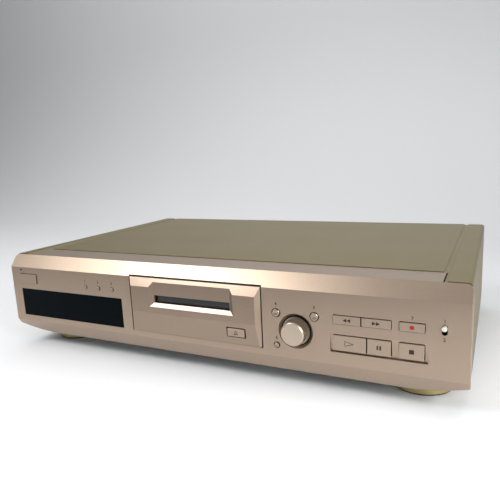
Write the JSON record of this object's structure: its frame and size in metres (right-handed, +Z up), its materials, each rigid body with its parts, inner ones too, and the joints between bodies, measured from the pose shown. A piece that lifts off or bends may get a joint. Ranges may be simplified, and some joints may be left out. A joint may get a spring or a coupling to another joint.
{
  "type": "minidisc deck",
  "caption": "Full-width disc recorder deck with a flap-covered disc slot in a proud block, dark display, jog knob, transport keys and round feet.",
  "frame": {"origin": "on the floor under the middle of the deck, the knob and the rear jacks included", "axes": "+X to the right as seen from the front, the front faces -Y, +Z up"},
  "size_m": [0.43, 0.286, 0.0945],
  "materials": {
    "front_moulding": "metallic champagne paint, satin",
    "block_moulding": "metallic champagne paint, satin",
    "key_plastic": "metallic champagne paint, smooth",
    "knob_metal": "turned, bright bevel",
    "flap_plastic": "dark, smooth",
    "window_plastic": "dark polished acrylic",
    "lens_plastic": "clear red",
    "tube_glass": "smooth",
    "cover_paint": "semi-gloss metallic paint",
    "zinc_sheet": "zinc plated sheet",
    "foot_plastic": "metallic gold paint",
    "pad_rubber": "matte",
    "screw_steel": "passivated",
    "board_laminate": "solder-masked laminate",
    "switch_plastic": "matte",
    "frame_steel": "zinc plated sheet",
    "slide_plastic": "natural acetal",
    "gear_plastic": "natural acetal",
    "motor_steel": "nickel plated can",
    "table_plastic": "black",
    "rod_steel": "ground",
    "sled_metal": "die cast",
    "arm_steel": "spring steel",
    "component_plastic": "moulded",
    "core_steel": "varnished laminations",
    "winding_tape": "wrapped tape",
    "socket_plastic": "moulded",
    "shell_metal": "gold plated"
  },
  "bodies": {
    "cabinet": {"front_panel": "front_moulding", "top_cover": "cover_paint", "chassis_pan": "zinc_sheet", "rear_panel": "cover_paint", "foot_front_left": "foot_plastic", "foot_front_right": "foot_plastic", "foot_rear_left": "foot_plastic", "foot_rear_right": "foot_plastic", "foot_pads": "pad_rubber", "foot_screws": "screw_steel", "cover_screws": "screw_steel", "display_window": "window_plastic", "standby_lens": "lens_plastic", "display_tube": "tube_glass", "display_board": "board_laminate", "key_board": "board_laminate", "push_switches": "switch_plastic", "jog_encoder": "switch_plastic", "input_switch_body": "switch_plastic", "disc_block": "block_moulding", "mechanism_bracket": "frame_steel", "loading_motor": "motor_steel", "spindle_motor": "motor_steel", "guide_rods": "rod_steel", "sled_motor": "motor_steel", "main_board": "board_laminate", "supply_board": "board_laminate", "board_parts": "component_plastic", "transformer_core": "core_steel", "transformer_winding": "winding_tape", "line_jacks": "socket_plastic", "jack_shells": "shell_metal", "optical_sockets": "socket_plastic", "cord_gland": "socket_plastic"},
    "power_button": {"power_button": "key_plastic"},
    "time_button": {"time_button": "key_plastic"},
    "display_button": {"display_button": "key_plastic"},
    "scroll_button": {"scroll_button": "key_plastic"},
    "eject_button": {"eject_button": "key_plastic"},
    "menu_button": {"menu_button": "key_plastic"},
    "confirm_button": {"confirm_button": "key_plastic"},
    "clear_button": {"clear_button": "key_plastic"},
    "rewind_button": {"rewind_button": "key_plastic"},
    "forward_button": {"forward_button": "key_plastic"},
    "record_button": {"record_button": "key_plastic"},
    "play_button": {"play_button": "key_plastic"},
    "pause_button": {"pause_button": "key_plastic"},
    "stop_button": {"stop_button": "key_plastic"},
    "slot_flap": {"slot_flap": "flap_plastic"},
    "jog_knob": {"jog_knob": "knob_metal"},
    "jog_plunger": {"jog_plunger": "gear_plastic"},
    "input_switch_knob": {"input_switch_knob": "key_plastic"},
    "cartridge_holder": {"cartridge_holder": "frame_steel"},
    "loading_slide": {"loading_slide": "slide_plastic"},
    "loading_gear": {"loading_gear": "gear_plastic"},
    "motor_pinion": {"motor_pinion": "gear_plastic"},
    "turntable": {"turntable": "table_plastic"},
    "pickup_sled": {"pickup_sled": "sled_metal"},
    "lead_screw": {"lead_screw": "rod_steel"},
    "head_arm": {"head_arm": "arm_steel"}
  },
  "joints": [
    {"name": "power_button_press", "type": "slide", "parent": "cabinet", "child": "power_button", "axis": [0, 1, 0], "range_m": [0, 0.001], "stiffness_N_per_m": 400, "springref_m": -0.0005},
    {"name": "time_button_press", "type": "slide", "parent": "cabinet", "child": "time_button", "axis": [0, 1, 0], "range_m": [0, 0.001], "stiffness_N_per_m": 400, "springref_m": -0.0005},
    {"name": "display_button_press", "type": "slide", "parent": "cabinet", "child": "display_button", "axis": [0, 1, 0], "range_m": [0, 0.001], "stiffness_N_per_m": 400, "springref_m": -0.0005},
    {"name": "scroll_button_press", "type": "slide", "parent": "cabinet", "child": "scroll_button", "axis": [0, 1, 0], "range_m": [0, 0.001], "stiffness_N_per_m": 400, "springref_m": -0.0005},
    {"name": "eject_button_press", "type": "slide", "parent": "cabinet", "child": "eject_button", "axis": [0, 1, 0], "range_m": [0, 0.001], "stiffness_N_per_m": 400, "springref_m": -0.0005},
    {"name": "menu_button_press", "type": "slide", "parent": "cabinet", "child": "menu_button", "axis": [0, 1, 0], "range_m": [0, 0.001], "stiffness_N_per_m": 400, "springref_m": -0.0005},
    {"name": "confirm_button_press", "type": "slide", "parent": "cabinet", "child": "confirm_button", "axis": [0, 1, 0], "range_m": [0, 0.001], "stiffness_N_per_m": 400, "springref_m": -0.0005},
    {"name": "clear_button_press", "type": "slide", "parent": "cabinet", "child": "clear_button", "axis": [0, 1, 0], "range_m": [0, 0.001], "stiffness_N_per_m": 400, "springref_m": -0.0005},
    {"name": "rewind_button_press", "type": "slide", "parent": "cabinet", "child": "rewind_button", "axis": [0, 1, 0], "range_m": [0, 0.001], "stiffness_N_per_m": 400, "springref_m": -0.0005},
    {"name": "forward_button_press", "type": "slide", "parent": "cabinet", "child": "forward_button", "axis": [0, 1, 0], "range_m": [0, 0.001], "stiffness_N_per_m": 400, "springref_m": -0.0005},
    {"name": "record_button_press", "type": "slide", "parent": "cabinet", "child": "record_button", "axis": [0, 1, 0], "range_m": [0, 0.001], "stiffness_N_per_m": 400, "springref_m": -0.0005},
    {"name": "play_button_press", "type": "slide", "parent": "cabinet", "child": "play_button", "axis": [0, 1, 0], "range_m": [0, 0.001], "stiffness_N_per_m": 400, "springref_m": -0.0005},
    {"name": "pause_button_press", "type": "slide", "parent": "cabinet", "child": "pause_button", "axis": [0, 1, 0], "range_m": [0, 0.001], "stiffness_N_per_m": 400, "springref_m": -0.0005},
    {"name": "stop_button_press", "type": "slide", "parent": "cabinet", "child": "stop_button", "axis": [0, 1, 0], "range_m": [0, 0.001], "stiffness_N_per_m": 400, "springref_m": -0.0005},
    {"name": "flap_hinge", "type": "hinge", "parent": "cabinet", "child": "slot_flap", "pos_m": [0, -0.1332, 0.0712], "axis": [1, 0, 0], "range_deg": [0, 80], "stiffness_Nm_per_rad": 0.001, "springref_deg": -20.05},
    {"name": "jog_push", "type": "slide", "parent": "cabinet", "child": "jog_plunger", "axis": [0, 1, 0], "range_m": [0, 0.0006], "stiffness_N_per_m": 600, "springref_m": -0.0005},
    {"name": "jog_turn", "type": "hinge", "parent": "jog_plunger", "child": "jog_knob", "pos_m": [0.092, -0.135, 0.05], "axis": [0, 1, 0], "continuous": true},
    {"name": "input_switch_slide", "type": "slide", "parent": "cabinet", "child": "input_switch_knob", "axis": [0, 0, -1], "range_m": [0, 0.0026]},
    {"name": "loading_slide_travel", "type": "slide", "parent": "cabinet", "child": "loading_slide", "axis": [0, 1, 0], "range_m": [0, 0.01]},
    {"name": "holder_drop", "type": "slide", "parent": "cabinet", "child": "cartridge_holder", "axis": [0, 0, 1], "range_m": [-0.005, 0]},
    {"name": "loading_gear_turn", "type": "hinge", "parent": "cabinet", "child": "loading_gear", "pos_m": [0.0401, -0.087, 0.0394], "axis": [1, 0, 0], "range_deg": [-60, 0]},
    {"name": "motor_pinion_turn", "type": "hinge", "parent": "cabinet", "child": "motor_pinion", "pos_m": [0.0401, -0.07738, 0.02978], "axis": [1, 0, 0], "range_deg": [0, 144]},
    {"name": "turntable_spin", "type": "hinge", "parent": "cabinet", "child": "turntable", "pos_m": [0, -0.085, 0.0532], "axis": [0, 0, 1], "continuous": true},
    {"name": "sled_travel", "type": "slide", "parent": "cabinet", "child": "pickup_sled", "axis": [0, 1, 0], "range_m": [0, 0.014]},
    {"name": "lead_screw_turn", "type": "hinge", "parent": "cabinet", "child": "lead_screw", "pos_m": [0.031, -0.071, 0.0512], "axis": [0, 1, 0], "range_deg": [0, 2525]},
    {"name": "head_arm_hinge", "type": "hinge", "parent": "pickup_sled", "child": "head_arm", "pos_m": [0, -0.048, 0.0734], "axis": [1, 0, 0], "range_deg": [0, 20.5]}
  ],
  "couplings": [
    {"joint": "holder_drop", "follows": "loading_slide_travel", "ratio": -0.5},
    {"joint": "loading_gear_turn", "follows": "loading_slide_travel", "rad_per_m": -104.17},
    {"joint": "motor_pinion_turn", "follows": "loading_slide_travel", "rad_per_m": 250},
    {"joint": "head_arm_hinge", "follows": "loading_slide_travel", "rad_per_m": 35},
    {"joint": "lead_screw_turn", "follows": "sled_travel", "rad_per_m": 3141.6}
  ]
}
